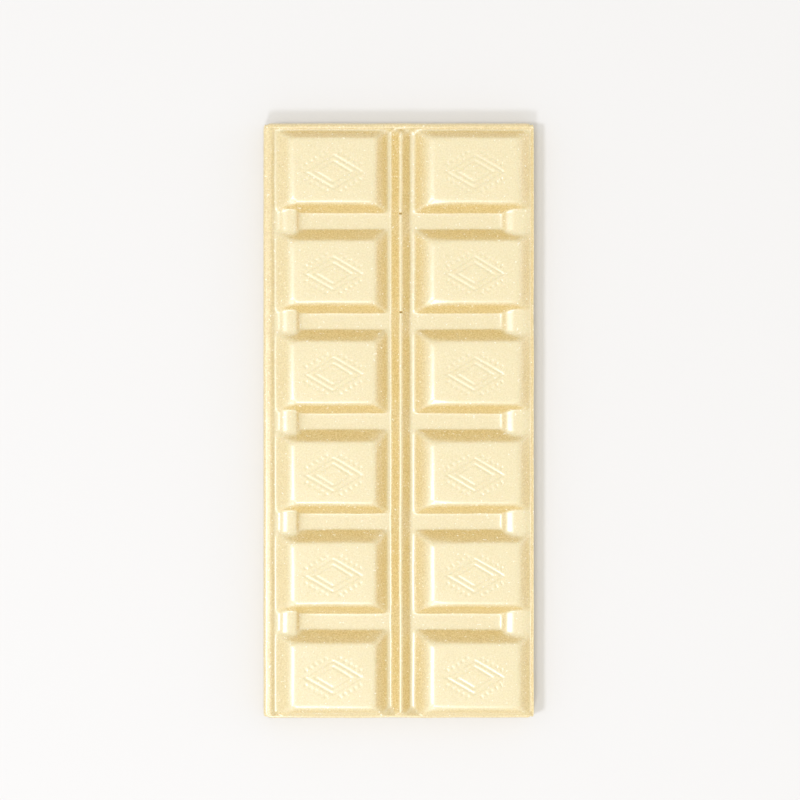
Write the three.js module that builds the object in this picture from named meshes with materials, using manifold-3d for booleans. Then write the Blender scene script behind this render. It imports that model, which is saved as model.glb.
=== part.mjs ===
// A moulded chocolate bar: one slab with a rounded rim, two columns of six raised blocks, a ridge
// between the columns, and a low half-round dam across the outer end of each channel.
//
// Millimetres, +Z up. The bar lies on its flat back with the moulded side up. X is its width,
// Y its length, and the origin is the middle of the back. "left" and "right" are -X and +X,
// "near" and "far" are -Y and +Y.
import * as THREE from "three";
import { mergeVertices } from "three/addons/utils/BufferGeometryUtils.js";
import Module from "manifold-3d";

// Driving dimensions
const barWidth = 71;
const barLength = 156;
const channelFloor = 5; // height of the slab between the blocks
const blockTop = 8.5;
const outlineRadius = 2.2;

const rows = 6;
const rowPitch = 26;
const channelWidth = 4;
const rowShift = -0.2; // the grid of blocks sits a little towards the near end

// The rim's section, from the outer wall inwards: heights and how far in from the outline
const rimShoulder = { z: 5.6, inset: { left: 0.45, right: 0.38, near: 0.9, far: 0.9 } };
const rimBrow = { z: 6.15, inset: { left: 0.85, right: 0.42, near: 1, far: 1.3 } };
const rimShelf = { z: 6.2, inset: { left: 1.7, right: 0.48, near: 1.25, far: 1.6 } };
const rimCrest = { z: 6.4, inset: { left: 2.55, right: 0.56, near: 1.6, far: 2 } };
const rimValley = { z: 5.7, inset: { left: 3.3, right: 1.3, near: 2, far: 2.6 } };
const rimFootReach = 2; // the rim meets the floor at this multiple of the way from crest to valley

const ridge = { left: -2, right: 3.15, height: 2.4, crestWidth: 0.45, endRun: 1.3 };

// Where the sharp edges of the block tops would be before rounding, for the two columns
const columnTops = [
  { left: -27.8, right: -6.1 },
  { left: 8, right: 31.2 },
];
const endInset = { near: 3.85, far: 5 }; // from the ends of the bar to the tops of the last blocks
const outerRun = { left: 5.3, right: 3.8, near: 2.8, far: 3.17 }; // plan width of the outer walls
const channelRun = { near: 2.3, far: 3.4 }; // plan width of the walls along the channels
const blockRadius = 1.6; // corners of a block's foot
const edgeRounding = 0.9; // how far the rounding of an edge reaches onto the top
const roundingShare = 0.3; // share of the wall that the rounding takes

const damHeight = 1.4;
const damLength = 7; // runs into the walls of the blocks on both sides
const dams = [
  { left: -31.6, right: -25.7 },
  { left: 26.9, right: 33.7 },
];

const groove = { width: 0.6, depth: 0.12 };
const lozenges = [
  { width: 14.6, length: 8.6 },
  { width: 9.2, length: 5.6 },
];
const lozengeShift = -0.3; // from the middle of the block's top, along the bar

const cornerSegments = 4;
const roundingSteps = 3;
const mergeDistance = 1e-4;
const overlap = 1; // how deep each raised shape starts below the surface it stands on

const sides = ["left", "right", "near", "far"];
const noInset = { left: 0, right: 0, near: 0, far: 0 };

function mixedInset(from, to, share) {
  return Object.fromEntries(
    sides.map((side) => [side, THREE.MathUtils.lerp(from[side], to[side], share)]),
  );
}

function roundedRectangle({ left, right, near, far }, radius) {
  const shape = new THREE.Shape();
  shape.moveTo(left + radius, near);
  shape.lineTo(right - radius, near);
  shape.absarc(right - radius, near + radius, radius, -Math.PI / 2, 0);
  shape.lineTo(right, far - radius);
  shape.absarc(right - radius, far - radius, radius, 0, Math.PI / 2);
  shape.lineTo(left + radius, far);
  shape.absarc(left + radius, far - radius, radius, Math.PI / 2, Math.PI);
  shape.lineTo(left, near + radius);
  shape.absarc(left + radius, near + radius, radius, Math.PI, 1.5 * Math.PI);
  return shape;
}

// A solid on a rounded rectangle. At each station, from the bottom up, the four sides have moved
// in by that station's own insets, so every wall can have its own draft.
function moulded(foot, radius, stations) {
  const layers = stations.length - 1;
  const geometry = new THREE.ExtrudeGeometry(roundedRectangle(foot, radius), {
    depth: layers,
    steps: layers,
    bevelEnabled: false,
    curveSegments: cornerSegments,
  });
  const position = geometry.attributes.position;
  for (let i = 0; i < position.count; i++) {
    const { inset, z } = stations[Math.round(position.getZ(i))];
    const across = (position.getX(i) - foot.left) / (foot.right - foot.left);
    const along = (position.getY(i) - foot.near) / (foot.far - foot.near);
    position.setXYZ(
      i,
      THREE.MathUtils.lerp(foot.left + inset.left, foot.right - inset.right, across),
      THREE.MathUtils.lerp(foot.near + inset.near, foot.far - inset.far, along),
      z,
    );
  }
  return geometry;
}

function quadratic(start, control, end, t) {
  return (1 - t) ** 2 * start + 2 * t * (1 - t) * control + t * t * end;
}

// Straight drafted walls that round over into a flat top
function draftedStations(bottom, height, run, rounding) {
  const stations = [
    { inset: noInset, z: bottom - overlap },
    { inset: noInset, z: bottom },
  ];
  const wallShare = 1 - roundingShare;
  for (let step = 0; step <= roundingSteps; step++) {
    const t = step / roundingSteps;
    const insetOf = (side) => quadratic(run[side] * wallShare, run[side], run[side] + rounding, t);
    stations.push({
      inset: Object.fromEntries(sides.map((side) => [side, insetOf(side)])),
      z: bottom + quadratic(height * wallShare, height, height, t),
    });
  }
  return stations;
}

function slabGeometry() {
  const outline = {
    left: -barWidth / 2,
    right: barWidth / 2,
    near: -barLength / 2,
    far: barLength / 2,
  };
  return moulded(outline, outlineRadius, [
    { inset: noInset, z: 0 },
    rimShoulder,
    rimBrow,
    rimShelf,
    rimCrest,
    rimValley,
    { inset: mixedInset(rimCrest.inset, rimValley.inset, rimFootReach), z: channelFloor },
  ]);
}

function channelCentre(row) {
  return (rows / 2 - row) * rowPitch + rowShift;
}

// The sides of a block's top
function topSides(column, row) {
  const { left, right } = columnTops[column];
  const far = row === 0
    ? barLength / 2 - endInset.far
    : channelCentre(row) - channelWidth / 2 - channelRun.far;
  const near = row === rows - 1
    ? -barLength / 2 + endInset.near
    : channelCentre(row + 1) + channelWidth / 2 + channelRun.near;
  return { left, right, near, far };
}

function blockGeometry(column, row) {
  const top = topSides(column, row);
  const run = {
    left: column === 0 ? outerRun.left : top.left - ridge.right,
    right: column === 0 ? ridge.left - top.right : outerRun.right,
    near: row === rows - 1 ? outerRun.near : channelRun.near,
    far: row === 0 ? outerRun.far : channelRun.far,
  };
  const foot = {
    left: top.left - run.left,
    right: top.right + run.right,
    near: top.near - run.near,
    far: top.far + run.far,
  };
  const stations = draftedStations(channelFloor, blockTop - channelFloor, run, edgeRounding);
  return moulded(foot, blockRadius, stations);
}

function ridgeGeometry() {
  const sideRun = (ridge.right - ridge.left - ridge.crestWidth) / 2;
  const foot = {
    left: ridge.left,
    right: ridge.right,
    near: -barLength / 2 + rimCrest.inset.near,
    far: barLength / 2 - rimCrest.inset.far,
  };
  const run = { left: sideRun, right: sideRun, near: ridge.endRun, far: ridge.endRun };
  const stations = draftedStations(channelFloor, ridge.height, run, ridge.crestWidth / 4);
  return moulded(foot, ridge.crestWidth / 2, stations);
}

function damGeometry(column, row) {
  const { left, right } = dams[column];
  const halfWidth = (right - left) / 2;
  const section = new THREE.Shape();
  section.moveTo(halfWidth, -overlap);
  section.lineTo(halfWidth, 0);
  section.absellipse(0, 0, halfWidth, damHeight, 0, Math.PI);
  section.lineTo(-halfWidth, -overlap);
  const geometry = new THREE.ExtrudeGeometry(section, {
    depth: damLength,
    bevelEnabled: false,
    curveSegments: 2 * cornerSegments,
  });
  geometry.translate(0, 0, -damLength / 2);
  geometry.rotateX(Math.PI / 2); // the section's Y becomes Z, and its depth runs along Y
  geometry.translate((left + right) / 2, channelCentre(row), channelFloor);
  return geometry;
}

function lozengePath(target, width, length) {
  target.moveTo(width / 2, 0);
  target.lineTo(0, length / 2);
  target.lineTo(-width / 2, 0);
  target.lineTo(0, -length / 2);
  target.closePath();
  return target;
}

// The cutter for one lozenge-shaped groove in the middle of a block's top
function grooveGeometry(column, row, { width, length }) {
  const slope = Math.hypot(width, length) / 2;
  const shrink = (groove.width * slope) / (width * length / 4);
  const shape = lozengePath(new THREE.Shape(), width, length);
  shape.holes.push(lozengePath(new THREE.Path(), width * (1 - shrink), length * (1 - shrink)));
  const geometry = new THREE.ExtrudeGeometry(shape, {
    depth: groove.depth + overlap,
    bevelEnabled: false,
  });
  const top = topSides(column, row);
  geometry.translate(
    (top.left + top.right) / 2,
    (top.near + top.far) / 2 + lozengeShift,
    blockTop - groove.depth,
  );
  return geometry;
}

const wasm = await Module();
wasm.setup();

function toSolid(geometry) {
  geometry.deleteAttribute("normal");
  geometry.deleteAttribute("uv");
  const merged = mergeVertices(geometry, mergeDistance);
  return new wasm.Manifold(
    new wasm.Mesh({
      numProp: 3,
      vertProperties: new Float32Array(merged.attributes.position.array),
      triVerts: new Uint32Array(merged.index.array),
    }),
  );
}

function toGeometry(solid) {
  const { vertProperties, triVerts } = solid.getMesh();
  const geometry = new THREE.BufferGeometry();
  geometry.setAttribute("position", new THREE.BufferAttribute(vertProperties, 3));
  geometry.setIndex(new THREE.BufferAttribute(triVerts, 1));
  geometry.computeVertexNormals();
  return geometry;
}

let solid = toSolid(slabGeometry()).add(toSolid(ridgeGeometry()));
for (let column = 0; column < columnTops.length; column++) {
  for (let row = 0; row < rows; row++) {
    solid = solid.add(toSolid(blockGeometry(column, row)));
    if (row > 0) solid = solid.add(toSolid(damGeometry(column, row)));
    for (const lozenge of lozenges) {
      solid = solid.subtract(toSolid(grooveGeometry(column, row, lozenge)));
    }
  }
}

const whiteChocolate = new THREE.MeshStandardMaterial({
  color: 0xfaeec9,
  roughness: 0.45,
  metalness: 0,
});
const bar = new THREE.Mesh(toGeometry(solid), whiteChocolate);
bar.name = "bar";

const part = new THREE.Group();
part.add(bar);
export default part;
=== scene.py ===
import math
import random

import bmesh
import bpy
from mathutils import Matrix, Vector, noise
from mathutils.bvhtree import BVHTree


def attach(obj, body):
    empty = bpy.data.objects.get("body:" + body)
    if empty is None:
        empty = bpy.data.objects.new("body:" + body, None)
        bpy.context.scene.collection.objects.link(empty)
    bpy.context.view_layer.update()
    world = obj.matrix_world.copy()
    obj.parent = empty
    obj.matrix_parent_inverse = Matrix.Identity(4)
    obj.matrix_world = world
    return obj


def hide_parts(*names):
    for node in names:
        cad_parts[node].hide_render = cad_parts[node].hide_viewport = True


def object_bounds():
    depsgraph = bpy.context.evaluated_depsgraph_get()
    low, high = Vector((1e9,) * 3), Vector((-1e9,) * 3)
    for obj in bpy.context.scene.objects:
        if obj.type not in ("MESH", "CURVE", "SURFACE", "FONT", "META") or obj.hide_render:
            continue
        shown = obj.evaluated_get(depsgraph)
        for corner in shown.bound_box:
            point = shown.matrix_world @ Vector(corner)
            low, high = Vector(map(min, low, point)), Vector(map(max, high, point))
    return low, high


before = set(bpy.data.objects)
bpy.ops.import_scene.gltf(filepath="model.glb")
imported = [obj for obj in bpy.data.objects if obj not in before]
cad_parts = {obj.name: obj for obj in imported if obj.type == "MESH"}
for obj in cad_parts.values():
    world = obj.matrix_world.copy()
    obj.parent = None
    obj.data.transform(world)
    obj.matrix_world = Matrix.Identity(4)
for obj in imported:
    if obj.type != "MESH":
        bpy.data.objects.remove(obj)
cadLow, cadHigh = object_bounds()
mm = 0.001
left, near, back = (value / mm for value in cadLow)
right, far, top = (value / mm for value in cadHigh)
print("frame loaded")


# the bar, modelled in millimetres and brought to metres at the end
bar = {
    "channelFloor": 5.0,
    # stations of the rim: height, and how far in from the outline on each side
    "shoulder": (5.6, {"left": 0.45, "right": 0.38, "near": 0.9, "far": 0.9}),
    "brow": (6.2, {"left": 0.8, "right": 0.42, "near": 1.0, "far": 1.3}),
    "shelf": (6.3, {"left": 1.7, "right": 0.48, "near": 1.25, "far": 1.6}),
    "crest": (6.37, {"left": 2.55, "right": 0.56, "near": 1.5, "far": 2.0}),
    "valley": (5.7, {"left": 3.3, "right": 1.3, "near": 2.5, "far": 2.6}),
    "outlineRadius": 2.2,
    "columnTops": [(-27.8, -6.1), (8.0, 31.2)],
    "rows": 6,
    "rowPitch": 26.0,
    "rowShift": -0.2,
    "channelWidth": 4.0,
    "endInset": {"near": 3.55, "far": 5.0},
    "outerRun": {"left": 5.3, "right": 3.8, "near": 3.5, "far": 3.17},  # plan width of outer walls
    "channelRun": {"near": 2.3, "far": 3.4},  # plan width of the walls along the channels
    "flare": (0.78, 0.06),  # where a wall beside the ridge eases off, as shares of run and height
    "crown": {"left": 0.18, "right": 0.06, "near": 0.14, "far": 0.16},  # fall towards the edges
    "cornerShare": 0.25,  # rounding of a block's corners, as a share of its walls' run
    # how far the rounding of the blocks' edges reaches, for the two columns
    "edgeRound": [
        {"left": 1.2, "right": 0.5, "near": 1.0, "far": 0.3},
        {"left": 1.9, "right": 0.5, "near": 1.0, "far": 0.3},
    ],
    "lastEdgeRound": 0.7,  # and at the near end of the bar
    "ridge": {"left": -2.0, "right": 3.15, "crestLeft": 0.32, "crestRight": 0.75},
    "ridgeHeight": 2.4,
    "ridgeEnd": 1.3,  # plan length of its sloping ends
    # sections of the dams, from left to right: place and height
    "dams": [
        [(-31.6, 5.7), (-30.9, 5.7), (-30.2, 6.15), (-29, 6.42), (-27.3, 6.4), (-26.5, 6.2), (-25.4, 5)],
        [(26.1, 5), (26.9, 5.2), (27.7, 5.8), (28.3, 6.05), (29.8, 6.45), (32.4, 6.45), (34.2, 5.7)],
    ],
    "damReach": 3.5,  # half its length, into the walls of the blocks
    "coarseness": 1.4,  # widens every gap between the cuts of the cage
    "cutTolerance": 1e-5,
    "smoothing": 1,  # subdivision levels
    "wallRings": [(0.95, 5.45), (0.1, 0.5), (0, 0.2), (0.5, 0)],  # share and height, to the foot
    "unevenness": 0.05,  # height of the slow waves
    "waveLength": 5.0,
    "wobble": 0.1,  # how far the lines of the edges stray
    "wobbleLength": 9.0,
    "still": (1.0, 5.0),  # heights between which the waves set in
    "steep": (0.06, 0.3),  # tilts between which the level colour gives way to the walls' painted shade
    "upward": 0.3,  # lowest upward share of a normal on the moulded face
    "rimShadeShare": 0.55,  # how much of the walls' painted shade the rim has
}
columns = len(bar["columnTops"])
stations = [bar[name] for name in ("shoulder", "brow", "shelf", "crest", "valley")]


def between(points, t):
    if t <= points[0][0]:
        return points[0][1]
    for (t0, v0), (t1, v1) in zip(points, points[1:]):
        if t <= t1:
            return v0 + (v1 - v0) * (t - t0) / (t1 - t0)
    return points[-1][1]


def channelCentre(row):
    return (bar["rows"] / 2 - row) * bar["rowPitch"] + bar["rowShift"]


# the flat top of each block and how far its four walls run, worked out once
def blockPlan(column, row):
    topLeft, topRight = bar["columnTops"][column]
    halfChannel = bar["channelWidth"] / 2
    first, last = row == 0, row == bar["rows"] - 1
    ridge = bar["ridge"]
    plan = {"left": topLeft, "right": topRight}
    plan["far"] = far - bar["endInset"]["far"]
    plan["near"] = near + bar["endInset"]["near"]
    if not first:
        plan["far"] = channelCentre(row) - halfChannel - bar["channelRun"]["far"]
    if not last:
        plan["near"] = channelCentre(row + 1) + halfChannel + bar["channelRun"]["near"]
    plan["run"] = {
        "left": bar["outerRun"]["left"] if column == 0 else topLeft - ridge["right"],
        "right": ridge["left"] - topRight if column == 0 else bar["outerRun"]["right"],
        "near": bar["outerRun"]["near"] if last else bar["channelRun"]["near"],
        "far": bar["outerRun"]["far"] if first else bar["channelRun"]["far"],
    }
    plan["besideRidge"] = "right" if column == 0 else "left"
    plan["round"] = dict(bar["edgeRound"][column])
    if last:
        plan["round"]["near"] = bar["lastEdgeRound"]
    return plan


blocks = [blockPlan(column, row) for column in range(columns) for row in range(bar["rows"])]


# a place's own station on the rim, as the nearest side gives it: 0 is the shoulder
def rimPlace(x, y):
    reach = {"left": x - left, "right": right - x, "near": y - near, "far": far - y}
    place = len(stations)
    for side, distance in reach.items():
        marks = [(insets[side], index) for index, (height, insets) in enumerate(stations)]
        outer, inner = marks[-2][0], marks[-1][0]
        marks.append((2 * inner - outer, len(stations)))
        place = min(place, between(marks, distance))
    return place


def rimHeight(x, y):
    heights = [(index, height) for index, (height, insets) in enumerate(stations)]
    return between(heights + [(len(stations), bar["channelFloor"])], rimPlace(x, y))


# how far down a block's wall a place is, from 0 on its top to 1 at the foot
def wallShare(distance, side, plan):
    reach = plan["round"][side]
    if abs(distance) < reach:
        distance = (distance + reach) ** 2 / (4 * reach)
    share = distance / plan["run"][side]
    if share > 0 and side == plan["besideRidge"]:
        flareStart, flareHeight = bar["flare"]
        share = between([(0, 0), (flareStart, 1 - flareHeight), (1, 1), (2, 2)], share)
    return share


def blockHeight(x, y, plan):
    toLeft, toRight = plan["left"] - x, x - plan["right"]
    toNear, toFar = plan["near"] - y, y - plan["far"]
    share = bar["cornerShare"]
    across = max(wallShare(toLeft, "left", plan), wallShare(toRight, "right", plan))
    along = max(wallShare(toNear, "near", plan), wallShare(toFar, "far", plan))
    down = max(across, along) + max(share - abs(across - along), 0) ** 2 / (4 * share)
    u = (toLeft - toRight) / (toLeft + toRight)
    v = (toNear - toFar) / (toNear + toFar)
    u, v = min(max(u, -1), 1), min(max(v, -1), 1)
    fall = bar["crown"]["left" if u > 0 else "right"] * abs(u) ** 3
    fall += bar["crown"]["near" if v > 0 else "far"] * abs(v) ** 3
    level = top - fall
    return level - (level - bar["channelFloor"]) * max(down, 0)


def ridgeHeight(x, y):
    ridge = bar["ridge"]
    share = min(
        1,
        (x - ridge["left"]) / (ridge["crestLeft"] - ridge["left"]),
        (ridge["right"] - x) / (ridge["right"] - ridge["crestRight"]),
        (y - near - bar["brow"][1]["near"]) / bar["ridgeEnd"],
        (far - bar["crest"][1]["far"] - y) / bar["ridgeEnd"],
    )
    return bar["channelFloor"] + bar["ridgeHeight"] * share


def damHeight(x, y):
    row = round((bar["rowShift"] - y) / bar["rowPitch"] + bar["rows"] / 2)
    if 0 < row < bar["rows"] and abs(y - channelCentre(row)) < bar["damReach"]:
        for section in bar["dams"]:
            if section[0][0] <= x <= section[-1][0]:
                return between(section, x)
    return 0


def mouldHeight(x, y):
    heights = [rimHeight(x, y), ridgeHeight(x, y), damHeight(x, y)]
    heights += [blockHeight(x, y, plan) for plan in blocks]
    return max(heights)


# cuts from mark to mark, each mark with the rough gap that follows it
def spread(marks):
    cuts = [marks[0][0]]
    for (start, gap), (end, nextGap) in zip(marks, marks[1:]):
        count = max(1, round((end - start) / gap / bar["coarseness"]))
        cuts += [start + (end - start) * step / count for step in range(1, count + 1)]
    return cuts


# rough gaps between the cuts, and how far from the edges of the tops and from the walls' feet
# they change
acrossGaps = {
    "rim": 0.35,
    "crest": 0.28,
    "wall": 0.5,
    "edge": 0.34,
    "top": 2.8,
    "peak": 0.22,
    "outer": 0.13,
}
alongGaps = {
    "outer": 0.08,
    "crest": 0.13,
    "edge": 0.33,
    "middle": 2.0,
    "farWall": 0.45,
    "nearWall": 0.4,
    "foot": 0.25,
    "floor": 1.7,
    "valley": 0.22,
    "rim": 0.4,
}
edgeReach = {"left": 1.0, "lit": 1.3, "outside": 0.8, "far": 0.9, "top": 1.7}
footReach = {"wall": 0.4, "floor": 0.35}


def acrossCuts():
    brow, shelf, crest, valley = (station[1] for station in stations[1:])
    ridge = bar["ridge"]
    (firstLeft, firstRight), (secondLeft, secondRight) = bar["columnTops"]
    flareStart = bar["flare"][0]
    leftDam, rightDam = bar["dams"]
    gap, reach = acrossGaps, edgeReach
    return spread(
        [
            (left + brow["left"], gap["rim"]),
            (left + shelf["left"], gap["rim"]),
            (left + crest["left"], gap["crest"]),
            (left + valley["left"], gap["wall"]),
            (firstLeft - reach["left"], gap["edge"]),
            (leftDam[-2][0], gap["edge"]),
            (leftDam[-1][0], gap["top"]),
            ((firstLeft + firstRight) / 2, gap["top"]),
            (firstRight - reach["left"], gap["edge"]),
            (firstRight + reach["outside"], gap["wall"]),
            (firstRight + (ridge["left"] - firstRight) * flareStart, gap["edge"]),
            (ridge["left"], gap["edge"]),
            (ridge["crestLeft"], gap["peak"]),
            (ridge["crestRight"], gap["edge"]),
            (ridge["right"], gap["edge"]),
            (secondLeft + (ridge["right"] - secondLeft) * flareStart, gap["wall"]),
            (secondLeft - reach["lit"], gap["edge"]),
            (secondLeft + reach["top"], gap["top"]),
            ((secondLeft + secondRight) / 2, gap["top"]),
            (rightDam[0][0], gap["edge"]),
            (rightDam[3][0], gap["wall"]),
            (rightDam[4][0], gap["wall"]),
            (secondRight + reach["outside"], gap["wall"]),
            (right - valley["right"], gap["outer"]),
            (right - crest["right"], gap["outer"]),
            (right - brow["right"], gap["outer"]),
        ]
    )


def alongCuts():
    brow, shelf, crest, valley = (station[1] for station in stations[1:])
    gap, reach = alongGaps, edgeReach
    marks = [(near + brow["near"], gap["outer"]), (near + crest["near"], gap["crest"])]
    marks += [(near + valley["near"], gap["nearWall"])]
    halfChannel = bar["channelWidth"] / 2
    for row in reversed(range(bar["rows"])):
        plan = blocks[row]
        marks += [(plan["near"] - reach["outside"], gap["edge"])]
        marks += [(plan["near"] + reach["top"], gap["middle"])]
        marks += [(plan["far"] - reach["top"], gap["edge"])]
        marks += [(plan["far"] + reach["far"], gap["farWall"])]
        if row:
            nearFoot = channelCentre(row) - halfChannel
            farFoot = channelCentre(row) + halfChannel
            marks += [(nearFoot - footReach["wall"], gap["foot"])]
            marks += [(nearFoot + footReach["floor"], gap["floor"])]
            marks += [(farFoot - footReach["floor"], gap["foot"])]
            marks += [(farFoot + footReach["wall"], gap["nearWall"])]
    marks += [(far - valley["far"], gap["valley"]), (far - crest["far"], gap["rim"])]
    marks += [(far - shelf["far"], gap["rim"]), (far - brow["far"], gap["rim"])]
    return spread(marks)


# a rectangle's four sides at a share of the way from the outline to the shoulder
def ringSides(share):
    inset = bar["shoulder"][1]
    return (
        left + inset["left"] * share,
        right - inset["right"] * share,
        near + inset["near"] * share,
        far - inset["far"] * share,
    )


def moveToRing(vert, fromShare, toShare):
    x0, x1, y0, y1 = ringSides(fromShare)
    newX0, newX1, newY0, newY1 = ringSides(toShare)
    vert.co.x = newX0 + (vert.co.x - x0) / (x1 - x0) * (newX1 - newX0)
    vert.co.y = newY0 + (vert.co.y - y0) / (y1 - y0) * (newY1 - newY0)


# square corners of the rings become arcs about the corner's centre
def roundCorners(verts):
    radius = bar["outlineRadius"]
    for vert in verts:
        centreX = min(max(vert.co.x, left + radius), right - radius)
        centreY = min(max(vert.co.y, near + radius), far - radius)
        a, b = vert.co.x - centreX, vert.co.y - centreY
        if a and b:
            scale = max(abs(a), abs(b)) / math.hypot(a, b)
            vert.co.x = centreX + a * scale
            vert.co.y = centreY + b * scale


def barCage():
    bm = bmesh.new()
    x0, x1, y0, y1 = ringSides(1)
    bmesh.ops.create_grid(bm, x_segments=1, y_segments=1, size=0.5)
    bmesh.ops.scale(bm, vec=(x1 - x0, y1 - y0, 1), verts=bm.verts)
    bmesh.ops.translate(bm, vec=((x0 + x1) / 2, (y0 + y1) / 2, 0), verts=bm.verts)
    cuts = [((x, 0, 0), (1, 0, 0)) for x in acrossCuts()]
    cuts += [((0, y, 0), (0, 1, 0)) for y in alongCuts()]
    for place, direction in cuts:
        everything = bm.verts[:] + bm.edges[:] + bm.faces[:]
        bmesh.ops.bisect_plane(
            bm, geom=everything, dist=bar["cutTolerance"], plane_co=place, plane_no=direction
        )
    for vert in bm.verts:
        vert.co.z = mouldHeight(vert.co.x, vert.co.y)
    return bm


def meshObject(name, bm):
    mesh = bpy.data.meshes.new(name)
    bm.to_mesh(mesh)
    bm.free()
    made = bpy.data.objects.new(name, mesh)
    bpy.context.scene.collection.objects.link(made)
    return made


# puts the result of an object's modifiers in its mesh
def applyModifiers(piece):
    bpy.context.view_layer.update()
    graph = bpy.context.evaluated_depsgraph_get()
    mesh = bpy.data.meshes.new_from_object(piece.evaluated_get(graph))
    piece.modifiers.clear()
    piece.data = mesh


# the outer wall: down to the foot, round under it, and closed by the flat back
def addOuterWall(bm):
    share = 1
    for nextShare, height in bar["wallRings"]:
        rim = [edge for edge in bm.edges if edge.is_boundary]
        grown = bmesh.ops.extrude_edge_only(bm, edges=rim)["geom"]
        for vert in (item for item in grown if isinstance(item, bmesh.types.BMVert)):
            moveToRing(vert, share, nextShare)
            vert.co.z = height
        share = nextShare
    roundCorners(bm.verts)
    bmesh.ops.edgeloop_fill(bm, edges=[edge for edge in bm.edges if edge.is_boundary])
    bmesh.ops.recalc_face_normals(bm, faces=bm.faces)


# the ornament in each block's top: grooves and pits pressed in by the mould
ornament = {
    "shift": (0.0, -0.3),  # from the middle of the block's top
    "lozenges": [(14.6, 8.6), (9.2, 5.6)],  # width and length
    "grooveWidth": 0.8,
    "grooveDepth": 0.19,
    "pits": 5,  # beside each side of the outer lozenge
    "pitPitch": 1.5,
    "pitGap": 1.5,  # from the outer lozenge to the row of pits
    "pitSize": (0.8, 1.3),  # along the row and across it
    "pitDepth": 0.19,
    "reach": (7.9, 5.6),  # half the size of the finer mesh that carries it
    "cuts": 4,
}

# small nicks in the crest of the ridge
nicks = {
    "places": [(0.6, 53.5), (0.6, 28.1)],
    "size": (1.3, 0.6),
    "depth": 0.8,
    "reach": (1.6, 1.6),
    "cuts": 5,
}


# gives the faces about a place a finer mesh and returns the points there
def refine(bm, centre, reach, cuts):
    def inside(face):
        middle = face.calc_center_median()
        offset = middle - Vector(centre).to_3d()
        return face.normal.z > bar["upward"] and abs(offset.x) < reach[0] and abs(offset.y) < reach[1]

    faces = [face for face in bm.faces if inside(face)]
    edges = list(dict.fromkeys(edge for face in faces for edge in face.edges))
    made = bmesh.ops.subdivide_edges(bm, edges=edges, cuts=cuts, use_grid_fill=True)
    points = [item for item in made["geom"] if isinstance(item, bmesh.types.BMVert)]
    points += [vert for edge in edges if edge.is_valid for vert in edge.verts]
    return list(dict.fromkeys(points))


def dent(t):
    return (1 - t * t) ** 2 if abs(t) < 1 else 0


# how deep the ornament is at a place measured from its middle
def ornamentDepth(x, y):
    depth = 0
    x, y = abs(x), abs(y)
    for width, length in ornament["lozenges"]:
        slope = math.hypot(width, length)
        away = (x / width + y / length - 0.5) * width * length / slope
        depth = max(depth, ornament["grooveDepth"] * dent(2 * away / ornament["grooveWidth"]))
    width, length = ornament["lozenges"][0]
    slope = math.hypot(width, length)
    away = (x / width + y / length - 0.5) * width * length / slope - ornament["pitGap"]
    along = ((width / 4 - x) * width + (y - length / 4) * length) / slope
    pitch = ornament["pitPitch"]
    last = (ornament["pits"] - 1) / 2
    pit = min(max(round(along / pitch), -last), last)
    sizeAlong, sizeAcross = ornament["pitSize"]
    fromPit = math.hypot((along - pit * pitch) / sizeAlong, away / sizeAcross) * 2
    return max(depth, ornament["pitDepth"] * dent(fromPit))


def pressOrnament(bm):
    for plan in blocks:
        centreX = (plan["left"] + plan["right"]) / 2 + ornament["shift"][0]
        centreY = (plan["near"] + plan["far"]) / 2 + ornament["shift"][1]
        for vert in refine(bm, (centreX, centreY), ornament["reach"], ornament["cuts"]):
            vert.co.z -= ornamentDepth(vert.co.x - centreX, vert.co.y - centreY)


def cutNicks(bm):
    for place in nicks["places"]:
        for vert in refine(bm, place, nicks["reach"], nicks["cuts"]):
            u = 2 * (vert.co.x - place[0]) / nicks["size"][0]
            v = 2 * (vert.co.y - place[1]) / nicks["size"][1]
            vert.co.z -= nicks["depth"] * dent(math.hypot(u, v))


# slow waves in the surface and in the lines of the edges, none at the back
def unsettle(bm):
    stillBelow, fullAbove = bar["still"]
    for vert in bm.verts:
        share = min(max((vert.co.z - stillBelow) / (fullAbove - stillBelow), 0), 1)
        if not share:
            continue
        vert.co.z += bar["unevenness"] * share * noise.noise(vert.co / bar["waveLength"])
        wobble = noise.noise_vector(vert.co / bar["wobbleLength"]) * bar["wobble"] * share
        vert.co.x += wobble.x
        vert.co.y += wobble.y


# painted shade: 0 on level ground, 1 on steep walls, and the rim's own share on the rim, for the darker,
# yellower wall colour
def markShadedWalls(mesh):
    wall = mesh.attributes.new("wall", "FLOAT", "POINT")
    gentle, steep = bar["steep"]
    shares = []
    for vert, normal in zip(mesh.vertices, mesh.vertex_normals):
        share = min(max((1 - normal.vector.z - gentle) / (steep - gentle), 0), 1)
        onRim = rimPlace(vert.co.x / mm, vert.co.y / mm) < len(stations) - 1
        shares.append(bar["rimShadeShare"] if onRim else share)
    wall.data.foreach_set("value", shares)


def buildBar():
    piece = meshObject("bar_moulded", barCage())
    smooth = piece.modifiers.new("rounding", "SUBSURF")
    smooth.levels = smooth.render_levels = bar["smoothing"]
    smooth.boundary_smooth = "PRESERVE_CORNERS"
    applyModifiers(piece)
    bm = bmesh.new()
    bm.from_mesh(piece.data)
    addOuterWall(bm)
    bm.normal_update()
    pressOrnament(bm)
    cutNicks(bm)
    unsettle(bm)
    bmesh.ops.scale(bm, vec=(mm, mm, mm), verts=bm.verts)
    bm.to_mesh(piece.data)
    bm.free()
    piece.data.shade_smooth()
    markShadedWalls(piece.data)
    return piece


# a few crumbs on the surface
crumbs = {
    "places": [(2.6, 59), (-22, 72.7), (-22.5, 71), (-26.4, 67), (-9, 62), (30, 70.6), (-31, 66)],
    "size": 0.32,
    "sizeSpread": (0.7, 1.3),
    "roughness": 0.3,  # how far from round they are
    "sunk": 0.4,
}


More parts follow.
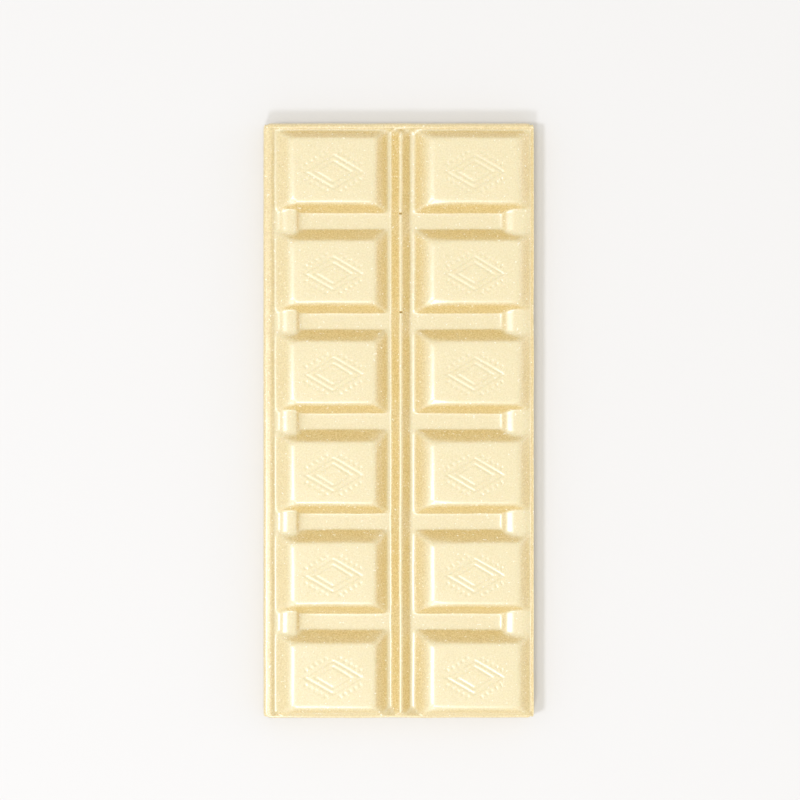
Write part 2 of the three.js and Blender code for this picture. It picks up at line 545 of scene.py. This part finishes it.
def buildCrumbs(ground):
    chance = random.Random(4)
    surface = BVHTree.FromObject(ground, bpy.context.evaluated_depsgraph_get())
    bm = bmesh.new()
    for x, y in crumbs["places"]:
        place, *_ = surface.ray_cast(Vector((x * mm, y * mm, 1)), Vector((0, 0, -1)))
        radius = crumbs["size"] * chance.uniform(*crumbs["sizeSpread"]) * mm / 2
        made = bmesh.ops.create_icosphere(bm, subdivisions=2, radius=radius)["verts"]
        for vert in made:
            vert.co *= 1 + crumbs["roughness"] * noise.noise(vert.co / radius + Vector((x, y, 0)))
        place.z += radius * (1 - 2 * crumbs["sunk"])
        bmesh.ops.translate(bm, vec=place, verts=made)
    piece = meshObject("crumbs", bm)
    piece.data.shade_smooth()
    return piece


# silky cream chocolate, grainier on the walls, where a darker, yellower colour is painted shade
cream = {
    # the darkest and the lightest grain
    "level": [(0.705, 0.605, 0.345, 1), (0.81, 0.715, 0.455, 1)],
    # the walls' colours, darker and yellower than the level ones: painted shade
    "wall": [(0.555, 0.388, 0.115, 1), (0.80, 0.63, 0.29, 1)],
    "speck": (0.93, 0.87, 0.70, 1),
    "grainSize": 0.00038,
    "grainDetail": 3,
    "speckSize": 0.0006,
    "speckDetail": 1,
    "speckShare": (0.68, 0.76),  # where the noise turns into pale specks
    "grainHeight": 0.00003,
    "cloudSize": 0.008,
    "cloudDetail": 4,
    "noiseSpan": (0.3, 0.7),  # the part of a noise's values that is used
    "roughness": (0.3, 0.36),
    "specular": 1.0,
    "coat": 1.0,
    "coatRoughness": 0.3,
    "subsurface": 0.15,
    "scatter": 0.0012,
    "scatterColour": (1, 0.7, 0.35),
}


def buildCream():
    material = bpy.data.materials.new("moulded cream chocolate")
    material.use_nodes = True
    nodes, links = material.node_tree.nodes, material.node_tree.links
    shader = nodes["Principled BSDF"]
    coords = nodes.new("ShaderNodeTexCoord")
    wall = nodes.new("ShaderNodeAttribute")
    wall.attribute_name = "wall"

    def addNoise(size, detail):
        noiseNode = nodes.new("ShaderNodeTexNoise")
        noiseNode.inputs["Scale"].default_value = 1 / size
        noiseNode.inputs["Detail"].default_value = detail
        links.new(coords.outputs["Object"], noiseNode.inputs["Vector"])
        return noiseNode.outputs["Fac"]

    def addRange(value, low, high, toLow=0.0, toHigh=1.0):
        ranged = nodes.new("ShaderNodeMapRange")
        ranged.inputs["From Min"].default_value = low
        ranged.inputs["From Max"].default_value = high
        ranged.inputs["To Min"].default_value = toLow
        ranged.inputs["To Max"].default_value = toHigh
        links.new(value, ranged.inputs["Value"])
        return ranged.outputs["Result"]

    # each end is a colour or another node's output
    def addMix(share, first, second):
        mix = nodes.new("ShaderNodeMix")
        mix.data_type = "RGBA"
        links.new(share, mix.inputs["Factor"])
        for socket, end in (("A", first), ("B", second)):
            if isinstance(end, tuple):
                mix.inputs[socket].default_value = end
            else:
                links.new(end, mix.inputs[socket])
        return mix.outputs["Result"]

    grain = addNoise(cream["grainSize"], cream["grainDetail"])
    grainShare = addRange(grain, *cream["noiseSpan"])
    # the wall attribute blends in the walls' painted shade colours
    colour = addMix(
        wall.outputs["Fac"],
        addMix(grainShare, *cream["level"]),
        addMix(grainShare, *cream["wall"]),
    )
    speckNoise = addNoise(cream["speckSize"], cream["speckDetail"])
    specks = addRange(speckNoise, *cream["speckShare"])
    links.new(addMix(specks, colour, cream["speck"]), shader.inputs["Base Color"])

    cloud = addNoise(cream["cloudSize"], cream["cloudDetail"])
    roughness = addRange(cloud, *cream["noiseSpan"], *cream["roughness"])
    links.new(roughness, shader.inputs["Roughness"])

    bump = nodes.new("ShaderNodeBump")
    bump.inputs["Distance"].default_value = cream["grainHeight"]
    links.new(grain, bump.inputs["Height"])
    links.new(bump.outputs["Normal"], shader.inputs["Normal"])

    shader.inputs["Specular IOR Level"].default_value = cream["specular"]
    shader.inputs["Coat Weight"].default_value = cream["coat"]
    shader.inputs["Coat Roughness"].default_value = cream["coatRoughness"]
    shader.inputs["Subsurface Weight"].default_value = cream["subsurface"]
    shader.inputs["Subsurface Radius"].default_value = cream["scatterColour"]
    shader.inputs["Subsurface Scale"].default_value = cream["scatter"]
    return material


# floor, light and camera
scene = bpy.context.scene
studio = {
    "cameraHeight": 0.485,
    "cameraFoot": (0.00037, 0.00533),
    "frameWidth": 0.2101,  # seen at the height of the floor
    "sensorWidth": 36,
    "floorSize": 6,
    "floorColour": (0.74, 0.733, 0.725, 1),
    "floorRoughness": 0.9,
    "boxColour": (0.91, 0.95, 1.06),
    "leftBox": {"place": (-0.95, -0.3, 1.85), "size": 0.33, "power": 12.2},
    "nearBox": {"place": (-0.3, -1.2, 1.65), "size": 0.36, "power": 9.7},
    "rightFill": {"place": (1.3, 0.2, 0.42), "size": 0.6, "power": 0.9},
    "skyColour": (1, 0.975, 0.92, 1),
    "skyStrength": 0.875,
}


def buildFloor():
    bm = bmesh.new()
    bmesh.ops.create_grid(bm, x_segments=1, y_segments=1, size=studio["floorSize"] / 2)
    floor = meshObject("floor", bm)
    material = bpy.data.materials.new("pale floor")
    material.use_nodes = True
    shader = material.node_tree.nodes["Principled BSDF"]
    shader.inputs["Base Color"].default_value = studio["floorColour"]
    shader.inputs["Roughness"].default_value = studio["floorRoughness"]
    floor.data.materials.append(material)


def buildLight(name, place, size, power):
    data = bpy.data.lights.new(name, "AREA")
    data.shape = "DISK"
    data.size = size
    data.energy = power
    data.color = studio["boxColour"]
    light = bpy.data.objects.new(name, data)
    light.location = place
    light.rotation_euler = Vector(place).to_track_quat("Z", "Y").to_euler()
    scene.collection.objects.link(light)


def buildCamera():
    data = bpy.data.cameras.new("camera")
    data.sensor_width = studio["sensorWidth"]
    data.lens = data.sensor_width * studio["cameraHeight"] / studio["frameWidth"]
    camera = bpy.data.objects.new("camera", data)
    camera.location = (*studio["cameraFoot"], studio["cameraHeight"])
    scene.collection.objects.link(camera)
    scene.camera = camera


def buildWorld():
    world = bpy.data.worlds.new("studio")
    world.use_nodes = True
    background = world.node_tree.nodes["Background"]
    background.inputs["Color"].default_value = studio["skyColour"]
    background.inputs["Strength"].default_value = studio["skyStrength"]
    scene.world = world


buildCamera()
buildFloor()
for name in ("leftBox", "nearBox", "rightFill"):
    buildLight(name, **studio[name])
buildWorld()
scene.view_settings.view_transform = "Standard"
print("studio ready")

chocolate = buildCream()
moulded = buildBar()
moulded.data.materials.append(chocolate)
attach(moulded, "root")
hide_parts("bar")
print("bar made:", sum(len(face.vertices) - 2 for face in moulded.data.polygons), "triangles")

scattered = buildCrumbs(moulded)
scattered.data.materials.append(chocolate)
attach(scattered, "root")
print("crumbs made:", len(scattered.data.polygons), "faces")
